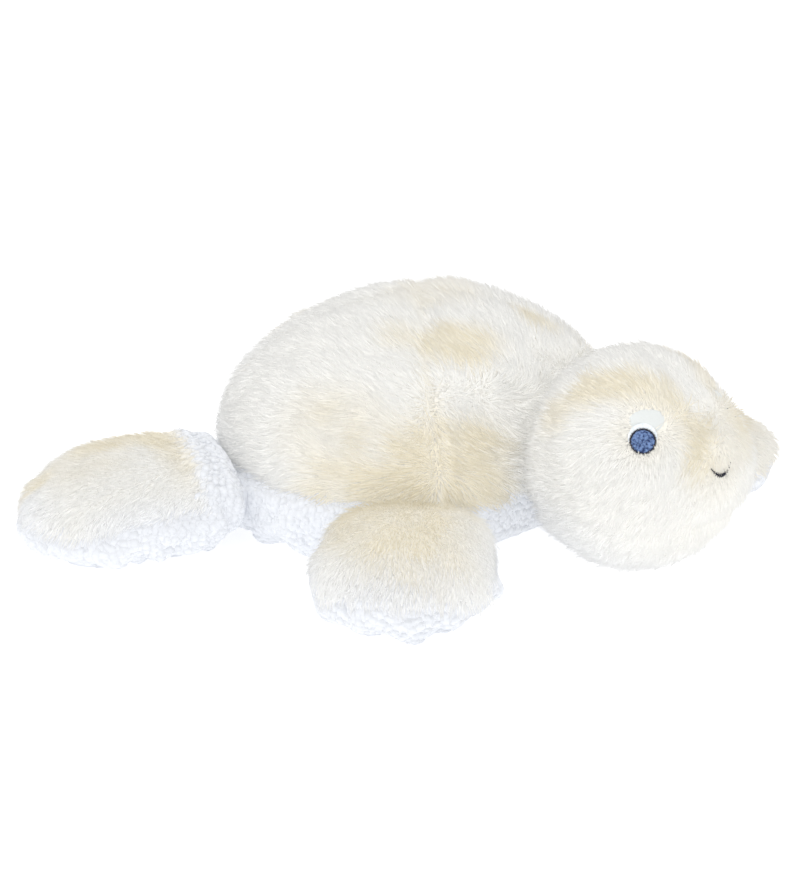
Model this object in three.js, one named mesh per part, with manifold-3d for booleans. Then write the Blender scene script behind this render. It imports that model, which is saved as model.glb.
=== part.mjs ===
// A plush sea turtle that lies on its belly, in millimetres.
// +X is forwards, towards the head, +Y is the turtle's left and +Z is up.
// The origin is the middle of the flat face on which the belly rests.
import * as THREE from "three";
import { mergeVertices } from "three/addons/utils/BufferGeometryUtils.js";
import Module from "manifold-3d";

const wasm = await Module();
wasm.setup();

// Cloth. Every outside size below is taken over the pile.
const CLOTH = 7; // backing with its pile pressed lightly
const SEAM_GAP = 0.3; // left between two pieces that are sewn or packed together
const CUT_THROUGH_SHARE = 2; // a cut's height, as a share of its depth below the pile

// Body: a domed shell over a belly that the table presses flat
const BODY_LENGTH = 204;
const BODY_WIDTH = 202;
const WIDEST_HEIGHT = 30;
const SHELL_RISE = 79; // from the widest level to the top
const BELLY_DROP = 32; // how far the belly would hang below that level in the air
const BELLY_FULLNESS = 4; // power of its outline: 2 is an ellipse, more is fuller
const SEAM_HEIGHT = 36; // the seam of shell and belly
const SHELL_GORES = ["front", "left", "rear", "right"]; // in turn from +X towards +Y

// Head: a ball pressed against the front of the body
const HEAD_DIAMETER = 102;
const HEAD_REACH = 123; // from the body's middle to the head's middle
const HEAD_HEIGHT = 54; // the head's middle
const CHIN_SEAM_DROP = 16; // below the head's middle
const FACE_TURN = THREE.MathUtils.degToRad(-8.5); // it looks a little to its right as it lies

// Neck: a stuffed ball in a sewn sleeve, about which the head turns and nods
const NECK_REACH = 86; // from the body's middle to the flattened front face
const NECK_DROP = 4; // its middle below the head's middle
const NECK_DIAMETER = 28;
const NECK_CLOTH = 4;
const NECK_SLEEVE_LENGTH = 18;
const NECK_ROOM = 0.5; // around it, so that it turns freely
const HEAD_LEAN = THREE.MathUtils.degToRad(15.5); // the head's back falls away from the body by this

// Flippers: padded paddles, each hinged along the seam of shell and belly, where it is sewn in
const FRONT_FLIPPER = {
  bearing: THREE.MathUtils.degToRad(51.5),
  length: 76, // from the seam to the tip
  width: 84,
  thickness: 43,
  rootWidth: 76,
  rootThickness: 40,
};
const REAR_FLIPPER = {
  bearing: THREE.MathUtils.degToRad(120),
  length: 93,
  width: 100,
  thickness: 43,
  rootWidth: 72,
  rootThickness: 38,
};
const FLIPPER_DROOP = THREE.MathUtils.degToRad(7); // from root to tip, as it rests
const FLIPPER_FLOOR_GAP = 0.5; // under a flipper's lowest point
const FLIPPER_LIFT = THREE.MathUtils.degToRad(50); // its root is cut back so that it can rise by this
const FLIPPER_DROP = THREE.MathUtils.degToRad(20); // and sink by this
const WIDEST_SHARE = 0.5; // of the length, where a flipper is widest and thickest
const TIP_FULLNESS = 2.3; // power of its outline beyond there
const SECTION_FULLNESS = 2.4; // power of its cross section

// Eyes: embroidery on a flat, short-trimmed spot of each cheek
const EYE_BEARING = THREE.MathUtils.degToRad(42.5); // from the middle of the face
const EYE_ELEVATION = THREE.MathUtils.degToRad(31.5);
const EYE_SPOT_DIAMETER = 19.6;
const EYE_SPOT_SINK = 2.7; // the spot's floor, below the pile
const THREAD = 0.9; // height of one layer of embroidery
const IRIS_DIAMETER = 8.8;
const OUTLINE_WIDTH = 1.1;
const EYE_DROP = 3.6; // the iris' middle below the spot's middle
const WHITE_DIAMETER = 12.4;
const WHITE_LIFT = 0.9; // the white's middle above the iris' middle
const EYELID_EDGE_RISE = 0.6; // its straight lower edge, above the spot's middle

// Smile: one embroidered band across the middle seam of the face
const SMILE_ELEVATION = THREE.MathUtils.degToRad(7.5);
const SMILE_WIDTH = 15;
const SMILE_DEPTH = 4.8; // from its corners to its lowest point
const SMILE_BAND = 2.2;
const SMILE_TAPER_SHARE = 0.8; // of the band's height squared, lost at its corners
const SMILE_SINK = 1.9; // the floor of its trimmed groove, below the pile

// Counts of facets
const BODY_SIDES = 32;
const BELLY_RINGS = 5;
const SHELL_RINGS = 7;
const HEAD_SIDES = 24;
const HEAD_RINGS = 12;
const NECK_SIDES = 20;
const NECK_RINGS = 12;
const FLIPPER_SIDES = 20;
const BLADE_RINGS = 9;
const EYE_SIDES = 20;
const SMILE_STEPS = 10;

const X_AXIS = new THREE.Vector3(1, 0, 0);
const Y_AXIS = new THREE.Vector3(0, 1, 0);
const Z_AXIS = new THREE.Vector3(0, 0, 1);
const QUARTER_TURN = Math.PI / 2;

const NECK_PLACE = new THREE.Vector3(NECK_REACH, 0, HEAD_HEIGHT - NECK_DROP);
const HEAD_PLACE = new THREE.Vector3(HEAD_REACH, 0, HEAD_HEIGHT);

// Solids

// A closed mesh as a solid that can be cut and joined
function solidOf(geometry) {
  const bare = geometry.index ? geometry.toNonIndexed() : geometry.clone();
  bare.deleteAttribute("normal");
  bare.deleteAttribute("uv");
  const merged = mergeVertices(bare);
  const corners = merged.index.array;
  const kept = [];
  for (let i = 0; i < corners.length; i += 3) {
    const [a, b, c] = corners.slice(i, i + 3);
    if (a !== b && b !== c && c !== a) {
      kept.push(a, b, c);
    }
  }
  const mesh = new wasm.Mesh({
    numProp: 3,
    vertProperties: merged.attributes.position.array,
    triVerts: Uint32Array.from(kept),
  });
  return new wasm.Manifold(mesh);
}

function namedMesh(name, solid, material) {
  const cut = solid.getMesh();
  const geometry = new THREE.BufferGeometry();
  geometry.setAttribute("position", new THREE.BufferAttribute(cut.vertProperties, 3));
  geometry.setIndex(new THREE.BufferAttribute(cut.triVerts, 1));
  geometry.computeVertexNormals();
  const mesh = new THREE.Mesh(geometry, material);
  mesh.name = name;
  return mesh;
}

// What lies on the side of a plane that its normal points to
function beyond(solid, normal, distance) {
  return solid.trimByPlane(normal.toArray(), distance);
}

function opposite(vector) {
  return vector.clone().negate();
}

function ball(radius, place, sides, rings) {
  const geometry = new THREE.SphereGeometry(radius, sides, rings);
  geometry.rotateX(QUARTER_TURN);
  geometry.translate(place.x, place.y, place.z);
  return solidOf(geometry);
}

// A share from -1 to 1, pushed outwards as the outline's power grows from an ellipse's 2
function full(share, power) {
  return Math.sign(share) * Math.abs(share) ** (2 / power);
}

// Rings of points around X, closed by a point at each end
function loft(stations, firstX, lastX, sides) {
  const points = [firstX, 0, 0];
  for (const { x, halfWidth, halfHeight } of stations) {
    for (let side = 0; side < sides; side += 1) {
      const turn = (side / sides) * 2 * Math.PI;
      const across = full(Math.cos(turn), SECTION_FULLNESS);
      const up = full(Math.sin(turn), SECTION_FULLNESS);
      points.push(x, halfWidth * across, halfHeight * up);
    }
  }
  points.push(lastX, 0, 0);
  const corners = [];
  const last = stations.length * sides + 1;
  for (let side = 0; side < sides; side += 1) {
    const next = (side + 1) % sides;
    corners.push(0, 1 + next, 1 + side);
    for (let ring = 1; ring < stations.length; ring += 1) {
      const low = 1 + (ring - 1) * sides;
      const high = low + sides;
      corners.push(low + side, low + next, high + next, low + side, high + next, high + side);
    }
    corners.push(last, last - sides + side, last - sides + next);
  }
  const geometry = new THREE.BufferGeometry();
  geometry.setAttribute("position", new THREE.BufferAttribute(new Float32Array(points), 3));
  geometry.setIndex(corners);
  return geometry;
}

// Body

// Everything that lies deeper in the body than the inset
function bodyForm(inset) {
  const radius = BODY_LENGTH / 2 - inset;
  const outline = [];
  for (let ring = 0; ring <= BELLY_RINGS; ring += 1) {
    const turn = (1 - ring / BELLY_RINGS) * QUARTER_TURN;
    const round = ring === 0 ? 0 : full(Math.cos(turn), BELLY_FULLNESS);
    const down = full(Math.sin(turn), BELLY_FULLNESS);
    outline.push(new THREE.Vector2(radius * round, -(BELLY_DROP - inset) * down));
  }
  for (let ring = 1; ring <= SHELL_RINGS; ring += 1) {
    const turn = (ring / SHELL_RINGS) * QUARTER_TURN;
    const round = ring === SHELL_RINGS ? 0 : Math.cos(turn);
    outline.push(new THREE.Vector2(radius * round, (SHELL_RISE - inset) * Math.sin(turn)));
  }
  const geometry = new THREE.LatheGeometry(outline, BODY_SIDES);
  geometry.rotateX(QUARTER_TURN);
  geometry.scale(1, (BODY_WIDTH / 2 - inset) / radius, 1);
  geometry.translate(0, 0, WIDEST_HEIGHT);
  const resting = beyond(solidOf(geometry), Z_AXIS, inset);
  return beyond(resting, opposite(X_AXIS), inset - NECK_REACH);
}

// How far the shell's edge reaches towards a bearing
function shellReach(bearing) {
  const shell = beyond(bodyForm(0), Z_AXIS, SEAM_HEIGHT);
  const faced = shell.rotate(0, 0, -THREE.MathUtils.radToDeg(bearing));
  return faced.boundingBox().max[0];
}

function shellGore(skin, middle) {
  const above = beyond(skin, Z_AXIS, SEAM_HEIGHT + SEAM_GAP / 2);
  const halfGore = Math.PI / SHELL_GORES.length;
  const fromRight = Y_AXIS.clone().applyAxisAngle(Z_AXIS, middle - halfGore);
  const fromLeft = Y_AXIS.clone().applyAxisAngle(Z_AXIS, middle + halfGore + Math.PI);
  return beyond(beyond(above, fromRight, SEAM_GAP / 2), fromLeft, SEAM_GAP / 2);
}

function addBody(turtle, looks) {
  const neckHollow = ball(NECK_DIAMETER / 2 + NECK_ROOM, NECK_PLACE, NECK_SIDES, NECK_RINGS);
  const skin = bodyForm(0).subtract(bodyForm(CLOTH)).subtract(neckHollow);
  SHELL_GORES.forEach((side, turn) => {
    const middle = (turn / SHELL_GORES.length) * 2 * Math.PI;
    turtle.add(namedMesh(`shell_${side}`, shellGore(skin, middle), looks.pile));
  });
  const belly = beyond(skin, opposite(Z_AXIS), SEAM_GAP / 2 - SEAM_HEIGHT);
  turtle.add(namedMesh("belly", belly, looks.fleece));
  const filling = bodyForm(CLOTH + SEAM_GAP).subtract(neckHollow);
  turtle.add(namedMesh("body_filling", filling, looks.filling));
}

// Neck

function addNeck(turtle, looks) {
  const outer = ball(NECK_DIAMETER / 2, NECK_PLACE, NECK_SIDES, NECK_RINGS);
  const bore = ball(NECK_DIAMETER / 2 - NECK_CLOTH, NECK_PLACE, NECK_SIDES, NECK_RINGS);
  const half = NECK_SLEEVE_LENGTH / 2;
  const front = beyond(outer.subtract(bore), opposite(X_AXIS), -(NECK_REACH + half));
  const sleeve = beyond(front, X_AXIS, NECK_REACH - half);
  turtle.add(namedMesh("neck_sleeve", sleeve, looks.fleece));
  const radius = NECK_DIAMETER / 2 - NECK_CLOTH - SEAM_GAP;
  const filling = ball(radius, NECK_PLACE, NECK_SIDES, NECK_RINGS);
  turtle.add(namedMesh("neck_filling", filling, looks.filling));
}

// Head

// The cone that the head's back keeps inside, so that it can lean to any side
function headRoom(inset) {
  const reach = HEAD_DIAMETER; // the cone ends in front of the face
  const cone = new THREE.ConeGeometry(reach / Math.tan(HEAD_LEAN), reach, HEAD_SIDES);
  cone.rotateZ(QUARTER_TURN);
  cone.translate(NECK_REACH + reach / 2 + inset / Math.cos(HEAD_LEAN), 0, NECK_PLACE.z);
  return solidOf(cone);
}

function headForm(inset) {
  const round = ball(HEAD_DIAMETER / 2 - inset, HEAD_PLACE, HEAD_SIDES, HEAD_RINGS);
  return round.intersect(headRoom(inset));
}

// Moves a shape drawn flat, with its top up, to a spot on the head that faces a bearing
function onFace(geometry, bearing, elevation, sink) {
  geometry.rotateX(QUARTER_TURN);
  geometry.rotateZ(QUARTER_TURN);
  geometry.translate(HEAD_DIAMETER / 2 - sink, 0, 0);
  geometry.rotateY(-elevation);
  geometry.rotateZ(bearing);
  geometry.translate(HEAD_PLACE.x, HEAD_PLACE.y, HEAD_PLACE.z);
  return solidOf(geometry);
}

function disc(radius, height, rise) {
  const geometry = new THREE.CylinderGeometry(radius, radius, height, EYE_SIDES);
  geometry.rotateX(QUARTER_TURN);
  geometry.translate(0, rise, height / 2);
  return geometry;
}

function eyePart(geometry, side, sink) {
  return onFace(geometry, FACE_TURN + side * EYE_BEARING, EYE_ELEVATION, sink);
}

function eyeSpot(side) {
  return eyePart(disc(EYE_SPOT_DIAMETER / 2, EYE_SPOT_SINK * CUT_THROUGH_SHARE, 0), side, EYE_SPOT_SINK);
}

function addEye(turtle, looks, name, side) {
  const whiteRise = WHITE_LIFT - EYE_DROP;
  const floor = EYE_SPOT_SINK - SEAM_GAP;
  const white = eyePart(disc(WHITE_DIAMETER / 2, THREAD, whiteRise), side, floor);
  turtle.add(namedMesh(`${name}_white`, white, looks.whiteThread));

  const upper = floor - THREAD - SEAM_GAP;
  const iris = eyePart(disc(IRIS_DIAMETER / 2, THREAD, -EYE_DROP), side, upper);
  turtle.add(namedMesh(`${name}_iris`, iris, looks.blueThread));

  const inner = IRIS_DIAMETER / 2 + SEAM_GAP;
  const ring = new THREE.Shape().absarc(0, -EYE_DROP, inner + OUTLINE_WIDTH, 0, 2 * Math.PI);
  ring.holes.push(new THREE.Path().absarc(0, -EYE_DROP, inner, 0, 2 * Math.PI));
  const ringOptions = { depth: THREAD, bevelEnabled: false, curveSegments: EYE_SIDES };
  const outline = eyePart(new THREE.ExtrudeGeometry(ring, ringOptions), side, upper);
  turtle.add(namedMesh(`${name}_outline`, outline, looks.darkThread));

  const spot = eyePart(disc(EYE_SPOT_DIAMETER / 2 - SEAM_GAP, THREAD, 0), side, floor);
  const room = disc(WHITE_DIAMETER / 2 + SEAM_GAP, EYE_SPOT_SINK * CUT_THROUGH_SHARE, whiteRise);
  const edge = new THREE.Vector3(-Math.sin(EYE_ELEVATION), 0, Math.cos(EYE_ELEVATION));
  edge.applyAxisAngle(Z_AXIS, FACE_TURN + side * EYE_BEARING);
  const lid = spot.subtract(eyePart(room, side, EYE_SPOT_SINK));
  const eyelid = beyond(lid, edge, edge.dot(HEAD_PLACE) + EYELID_EDGE_RISE);
  turtle.add(namedMesh(`${name}_eyelid`, eyelid, looks.trimmedPile));
}

// The smile's band, thickest in the middle and pointed at its corners
function smileShape(margin) {
  const half = SMILE_WIDTH / 2;
  const upper = [];
  const lower = [];
  for (let step = 0; step <= SMILE_STEPS; step += 1) {
    const across = (step / SMILE_STEPS) * 2 - 1;
    const height = SMILE_DEPTH * (across ** 2 - 1 / 2);
    const thick = (SMILE_BAND / 2) * Math.sqrt(1 - SMILE_TAPER_SHARE * across ** 2) + margin;
    const x = across * (half + margin);
    upper.push(new THREE.Vector2(x, height + thick));
    lower.unshift(new THREE.Vector2(x, height - thick));
  }
  return new THREE.Shape([...upper, ...lower].reverse());
}

function smile(margin, depth, sink) {
  const options = { depth, bevelEnabled: false };
  const band = new THREE.ExtrudeGeometry(smileShape(margin), options);
  return onFace(band, FACE_TURN, SMILE_ELEVATION, sink);
}

function addHead(turtle, looks) {
  const neckHollow = ball(NECK_DIAMETER / 2 + NECK_ROOM, NECK_PLACE, NECK_SIDES, NECK_RINGS);
  const groove = smile(SEAM_GAP, SMILE_SINK * CUT_THROUGH_SHARE, SMILE_SINK);
  const skin = headForm(0)
    .subtract(headForm(CLOTH))
    .subtract(neckHollow)
    .subtract(groove)
    .subtract(eyeSpot(1))
    .subtract(eyeSpot(-1));
  const chinSeam = HEAD_HEIGHT - CHIN_SEAM_DROP;
  const above = beyond(skin, Z_AXIS, chinSeam + SEAM_GAP / 2);
  const toLeft = Y_AXIS.clone().applyAxisAngle(Z_AXIS, FACE_TURN);
  const middle = toLeft.dot(HEAD_PLACE);
  const left = beyond(above, toLeft, SEAM_GAP / 2 + middle);
  const right = beyond(above, opposite(toLeft), SEAM_GAP / 2 - middle);
  const chin = beyond(skin, opposite(Z_AXIS), SEAM_GAP / 2 - chinSeam);
  turtle.add(namedMesh("head_left", left, looks.pile));
  turtle.add(namedMesh("head_right", right, looks.pile));
  turtle.add(namedMesh("chin", chin, looks.pile));
  const filling = headForm(CLOTH + SEAM_GAP).subtract(neckHollow);
  turtle.add(namedMesh("head_filling", filling, looks.filling));
  turtle.add(namedMesh("smile", smile(0, THREAD, SMILE_SINK - SEAM_GAP), looks.darkThread));
  addEye(turtle, looks, "eye_left", 1);
  addEye(turtle, looks, "eye_right", -1);
}

// Flippers

// A paddle along X that runs on past its root, with the hinge line's place at x = 0
function paddle(size, inset) {
  const root = size.rootThickness / 2 - inset;
  const rootWide = size.rootWidth / 2 - inset;
  const wide = size.width / 2 - inset;
  const thick = size.thickness / 2 - inset;
  const tip = size.length - inset;
  const widest = size.length * WIDEST_SHARE;
  const stations = [{ x: -size.rootThickness, halfWidth: rootWide, halfHeight: root }];
  for (let ring = 0; ring < BLADE_RINGS; ring += 1) {
    const x = tip * Math.sin((ring / BLADE_RINGS) * QUARTER_TURN);
    const swell = Math.sin(Math.min(x / widest, 1) * QUARTER_TURN);
    const past = Math.max(x - widest, 0) / (tip - widest);
    const close = (1 - past ** TIP_FULLNESS) ** (1 / TIP_FULLNESS);
    stations.push({
      x,
      halfWidth: (rootWide + (wide - rootWide) * swell) * close,
      halfHeight: (root + (thick - root) * swell) * close,
    });
  }
  const drooped = solidOf(loft(stations, -size.rootThickness, tip, FLIPPER_SIDES));
  return drooped.rotate(0, THREE.MathUtils.radToDeg(FLIPPER_DROOP), 0);
}

// The paddle cut back by what it would meet when it lifts or drops about the hinge line on Y
function flipperForm(size, inset, floor) {
  const upright = opposite(Z_AXIS).applyAxisAngle(Y_AXIS, -(QUARTER_TURN - FLIPPER_LIFT));
  const outward = X_AXIS.clone().applyAxisAngle(Y_AXIS, -FLIPPER_DROP);
  const raised = paddle(size, inset).translate(0, 0, floor);
  return beyond(beyond(raised, upright, inset), outward, inset);
}

function addFlipper(turtle, looks, name, size, side) {
  const bearing = side * size.bearing;
  const hinge = shellReach(bearing) + SEAM_GAP;
  const flipper = new THREE.Group();
  flipper.position.set(hinge * Math.cos(bearing), hinge * Math.sin(bearing), SEAM_HEIGHT);
  flipper.rotation.z = bearing;
  const lowest = paddle(size, 0).boundingBox().min[2];
  const floor = FLIPPER_FLOOR_GAP - SEAM_HEIGHT - lowest;
  const skin = flipperForm(size, 0, floor).subtract(flipperForm(size, CLOTH, floor));
  const edge = Z_AXIS.clone().applyAxisAngle(Y_AXIS, FLIPPER_DROOP);
  const middle = edge.z * floor;
  const top = beyond(skin, edge, middle + SEAM_GAP / 2);
  const underside = beyond(skin, opposite(edge), SEAM_GAP / 2 - middle);
  const filling = flipperForm(size, CLOTH + SEAM_GAP, floor);
  flipper.add(namedMesh(`${name}_top`, top, looks.pile));
  flipper.add(namedMesh(`${name}_underside`, underside, looks.fleece));
  flipper.add(namedMesh(`${name}_filling`, filling, looks.filling));
  turtle.add(flipper);
}

function cloth(color, roughness) {
  return new THREE.MeshStandardMaterial({ color, roughness, metalness: 0 });
}

const looks = {
  pile: cloth(0xece6d8, 0.95),
  fleece: cloth(0xf3f5f8, 0.97),
  trimmedPile: cloth(0xe9ebe8, 0.9),
  filling: cloth(0xfafafa, 1),
  blueThread: cloth(0x5b7199, 0.55),
  darkThread: cloth(0x262c3c, 0.55),
  whiteThread: cloth(0xf4f8fa, 0.5),
};

const turtle = new THREE.Group();
addBody(turtle, looks);
addNeck(turtle, looks);
addHead(turtle, looks);
for (const [sideName, side] of [["left", 1], ["right", -1]]) {
  addFlipper(turtle, looks, `front_${sideName}_flipper`, FRONT_FLIPPER, side);
  addFlipper(turtle, looks, `rear_${sideName}_flipper`, REAR_FLIPPER, side);
}

export default turtle;
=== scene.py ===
# %% [markdown]
# A plush sea turtle, about 35 cm across its flippers. It is sewn from two cloths: a long soft pile
# for the shell, the head and the tops of the flippers, and a short curly white fleece below. The
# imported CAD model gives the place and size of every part. This lesson gives each part a stuffed
# skin, a coat of real strands and its embroidery, and then lights and photographs the toy.

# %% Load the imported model
import math

import bmesh
import bpy
import numpy as np
from mathutils import Matrix, Vector, noise


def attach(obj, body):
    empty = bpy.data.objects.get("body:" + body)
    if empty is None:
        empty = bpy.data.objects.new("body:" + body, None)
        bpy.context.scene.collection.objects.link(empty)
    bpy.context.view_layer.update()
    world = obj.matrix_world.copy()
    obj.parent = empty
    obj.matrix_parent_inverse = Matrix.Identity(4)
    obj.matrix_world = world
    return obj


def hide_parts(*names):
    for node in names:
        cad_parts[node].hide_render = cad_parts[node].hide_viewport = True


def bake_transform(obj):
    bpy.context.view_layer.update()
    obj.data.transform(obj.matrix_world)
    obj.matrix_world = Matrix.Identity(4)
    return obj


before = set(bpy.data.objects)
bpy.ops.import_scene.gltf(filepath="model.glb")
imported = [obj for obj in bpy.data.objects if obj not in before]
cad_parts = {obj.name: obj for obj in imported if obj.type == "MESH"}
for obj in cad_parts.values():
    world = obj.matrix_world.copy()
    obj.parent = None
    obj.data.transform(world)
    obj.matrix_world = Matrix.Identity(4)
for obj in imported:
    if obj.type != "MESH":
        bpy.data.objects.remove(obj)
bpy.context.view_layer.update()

MM = 0.001
FLATTENED = 2.5 * MM
scene = bpy.context.scene

# %% [markdown]
# The camera stands a little above the toy, in front of its right flipper. Its place was found by
# laying the outline of the model over the photograph. A long lens from about a metre away keeps
# the near flipper from looking large.

# %% Camera
CAMERA_AZIMUTH = math.radians(41.57)
CAMERA_ELEVATION = math.radians(20.61)
CAMERA_DISTANCE = 0.957
CAMERA_SHIFT = (-0.0268, 0.0763)
SENSOR_HEIGHT = 24
LENS = 54.1
NEAREST = 0.05

camera = bpy.data.objects.new("camera", bpy.data.cameras.new("camera"))
scene.collection.objects.link(camera)
camera.rotation_euler = (math.pi / 2 - CAMERA_ELEVATION, 0, CAMERA_AZIMUTH)
camera.location = camera.rotation_euler.to_matrix() @ Vector((0, 0, CAMERA_DISTANCE))
camera.data.sensor_fit = "VERTICAL"
camera.data.sensor_height = SENSOR_HEIGHT
camera.data.lens = LENS
camera.data.shift_x, camera.data.shift_y = CAMERA_SHIFT
camera.data.clip_start = NEAREST
scene.camera = camera
print("camera at", [round(v, 3) for v in camera.location])

# %% [markdown]
# The photograph has almost no shadow: a bright white surround with soft light from all sides. The
# white world fills every hollow of the pile. A wide lamp above gives the shell its shape, one from
# the left brightens the rear flipper, and a weak one in front brings the face up.

# %% Light and floor
GAMMA = 1.25
SURROUND_STRENGTH = 0.905
TOY_MIDDLE = (0, 0, 0.05)
FLOOR_HALF = 4

scene.view_settings.view_transform = "Standard"
scene.view_settings.gamma = GAMMA
world = bpy.data.worlds.new("white_surround")
scene.world = world
world.use_nodes = True
world.node_tree.nodes["Background"].inputs["Color"].default_value = (1.0, 1.0, 1.0, 1)
world.node_tree.nodes["Background"].inputs["Strength"].default_value = SURROUND_STRENGTH


def soft_lamp(name, place, target, size, power):
    lamp = bpy.data.objects.new(name, bpy.data.lights.new(name, "AREA"))
    lamp.data.size = size
    lamp.data.energy = power
    lamp.location = place
    lamp.rotation_euler = (Vector(target) - Vector(place)).to_track_quat("-Z", "Y").to_euler()
    scene.collection.objects.link(lamp)


soft_lamp("overhead_lamp", (0.1, -0.3, 1.3), TOY_MIDDLE, 0.9, 4)
soft_lamp("side_lamp", (-0.8, -0.8, 0.8), TOY_MIDDLE, 0.5, 1.6)
soft_lamp("front_lamp", (0.75, -0.95, 0.50), (0.03, -0.03, 0.04), 1.2, 0.8)

floor_shape = bmesh.new()
bmesh.ops.create_grid(floor_shape, x_segments=1, y_segments=1, size=FLOOR_HALF)
floor = bpy.data.objects.new("floor", bpy.data.meshes.new("floor"))
floor_shape.to_mesh(floor.data)
scene.collection.objects.link(floor)
print("lamps and floor are up")

# %% [markdown]
# Every finish starts from the same plain material, a Principled BSDF. Its sockets take constant
# values, and only what varies over the surface is linked.

# %% Materials, common parts
DULL = 0.15
SHEEN_ROUGHNESS = 0.6


def finish(name, color, roughness, sheen=0.0):
    material = bpy.data.materials.new(name)
    material.use_nodes = True
    shader = material.node_tree.nodes["Principled BSDF"]
    shader.inputs["Base Color"].default_value = (*color, 1)
    shader.inputs["Roughness"].default_value = roughness
    shader.inputs["Specular IOR Level"].default_value = DULL
    shader.inputs["Sheen Weight"].default_value = sheen
    shader.inputs["Sheen Roughness"].default_value = SHEEN_ROUGHNESS
    return material, material.node_tree, shader


def node(tree, kind, sockets=(), **settings):
    """A node with its settings, and with plain values in some of its sockets"""
    made = tree.nodes.new(kind)
    for name, value in settings.items():
        setattr(made, name, value)
    for name, value in dict(sockets).items():
        made.inputs[name].default_value = value
    return made


def attribute(tree, name):
    return node(tree, "ShaderNodeAttribute", attribute_name=name)


def ranged(tree, value, sockets):
    """A value brought from one range to another"""
    made = node(tree, "ShaderNodeMapRange", sockets)
    tree.links.new(value, made.inputs["Value"])
    return made.outputs["Result"]


def mixed(tree, share, a, b):
    """A mix of two colours, each one a socket or a plain colour"""
    made = node(tree, "ShaderNodeMix", data_type="RGBA")
    tree.links.new(share, made.inputs["Factor"])
    for name, colour in (("A", a), ("B", b)):
        if isinstance(colour, tuple):
            made.inputs[name].default_value = (*colour, 1)
        else:
            tree.links.new(colour, made.inputs[name])
    return made.outputs["Result"]


def bumpy(tree, shader, height, strength, depth):
    bump = node(tree, "ShaderNodeBump", {"Strength": strength, "Distance": depth})
    tree.links.new(height, bump.inputs["Height"])
    tree.links.new(bump.outputs["Normal"], shader.inputs["Normal"])


floor_material, floor_tree, floor_shader = finish("pale_floor", (0.93, 0.93, 0.93), 0.9)
floor_grain = node(floor_tree, "ShaderNodeTexNoise", {"Scale": 3})
floor_tint = ranged(floor_tree, floor_grain.outputs["Fac"], {"To Min": 0.92, "To Max": 0.94})
floor_tree.links.new(floor_tint, floor_shader.inputs["Base Color"])
floor_shader.inputs["Emission Color"].default_value = (1, 1, 1, 1)
floor_shader.inputs["Emission Strength"].default_value = 0.45
floor.data.materials.append(floor_material)
print(floor_material.name, "has", len(floor_tree.nodes), "nodes")

# %% [markdown]
# The pile is dyed cream and frosted: in some patches its tips were airbrushed a sandy tan. One
# node group mixes the strand's colour from four things that each strand carries with it: how far
# along it a point is, how much frosting its patch has, how far it turns a bluish white, and a
# chance shade. The frosting value also carries painted shade in the same tan, and the bluish white
# is partly the whiter pile and partly painted cool shade.

# %% Pile colour
FROST_STARTS = -0.2  # where along a strand the frosting starts and is full
FROST_FULL = 0.75
DARKEST_STRAND = 0.95
LIGHTEST_STRAND = 1.02
KNIT_SCALE = 900
KNIT_DEPTH = 0.6 * MM


def pile_colour_group():
    tree = bpy.data.node_groups.new("pile_colour", "ShaderNodeTree")
    for name, kind, value in (
        ("Root", "NodeSocketColor", (0.80, 0.76, 0.66, 1)),
        ("Tip", "NodeSocketColor", (0.93, 0.92, 0.86, 1)),
        ("Frosting", "NodeSocketColor", (0.72, 0.60, 0.40, 1)),
        ("White", "NodeSocketColor", (0.93, 0.95, 0.98, 1)),
        ("Along", "NodeSocketFloat", 0.5),
        ("Frost And Shade", "NodeSocketFloat", 0.0),
        ("White And Cool Shade", "NodeSocketFloat", 0.0),
        ("Shade", "NodeSocketFloat", 0.5),
    ):
        tree.interface.new_socket(name=name, in_out="INPUT", socket_type=kind).default_value = value
    tree.interface.new_socket(name="Color", in_out="OUTPUT", socket_type="NodeSocketColor")
    given = node(tree, "NodeGroupInput").outputs
    result = node(tree, "NodeGroupOutput")
    strand = mixed(tree, given["Along"], given["Root"], given["Tip"])
    whitened_and_cool_shaded = mixed(tree, given["White And Cool Shade"], strand, given["White"])
    reach = ranged(tree, given["Along"], {"From Min": FROST_STARTS, "From Max": FROST_FULL})
    amount = node(tree, "ShaderNodeMath", operation="MULTIPLY")
    tree.links.new(reach, amount.inputs[0])
    tree.links.new(given["Frost And Shade"], amount.inputs[1])
    frosted = mixed(tree, amount.outputs["Value"], whitened_and_cool_shaded, given["Frosting"])
    light = ranged(tree, given["Shade"], {"To Min": DARKEST_STRAND, "To Max": LIGHTEST_STRAND})
    shaded = node(tree, "ShaderNodeVectorMath", operation="SCALE")
    tree.links.new(frosted, shaded.inputs[0])
    tree.links.new(light, shaded.inputs["Scale"])
    tree.links.new(shaded.outputs["Vector"], result.inputs["Color"])
    return tree


pile_colour = pile_colour_group()


def pile_material(name, root, tip, white, frosting=(0.86, 0.76, 0.53), strand=True):
    material, tree, shader = finish(name, tip, 0.85, sheen=0.25)
    mixer = node(tree, "ShaderNodeGroup", node_tree=pile_colour)
    for socket, colour in (("Root", root), ("Tip", tip), ("White", white), ("Frosting", frosting)):
        mixer.inputs[socket].default_value = (*colour, 1)
    pairs = [("Frost And Shade", "frosted"), ("White And Cool Shade", "cold")]
    if strand:
        pairs += [("Along", "along"), ("Shade", "shade")]
    for socket, name_of in pairs:
        tree.links.new(attribute(tree, name_of).outputs["Fac"], mixer.inputs[socket])
    if not strand:
        place = node(tree, "ShaderNodeTexCoord")
        knit = node(tree, "ShaderNodeTexNoise", {"Scale": KNIT_SCALE, "Detail": 3})
        tree.links.new(place.outputs["Object"], knit.inputs["Vector"])
        tree.links.new(knit.outputs["Fac"], mixer.inputs["Shade"])
        bumpy(tree, shader, knit.outputs["Fac"], 0.6, KNIT_DEPTH)
    tree.links.new(mixer.outputs["Color"], shader.inputs["Base Color"])
    return material


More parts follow.
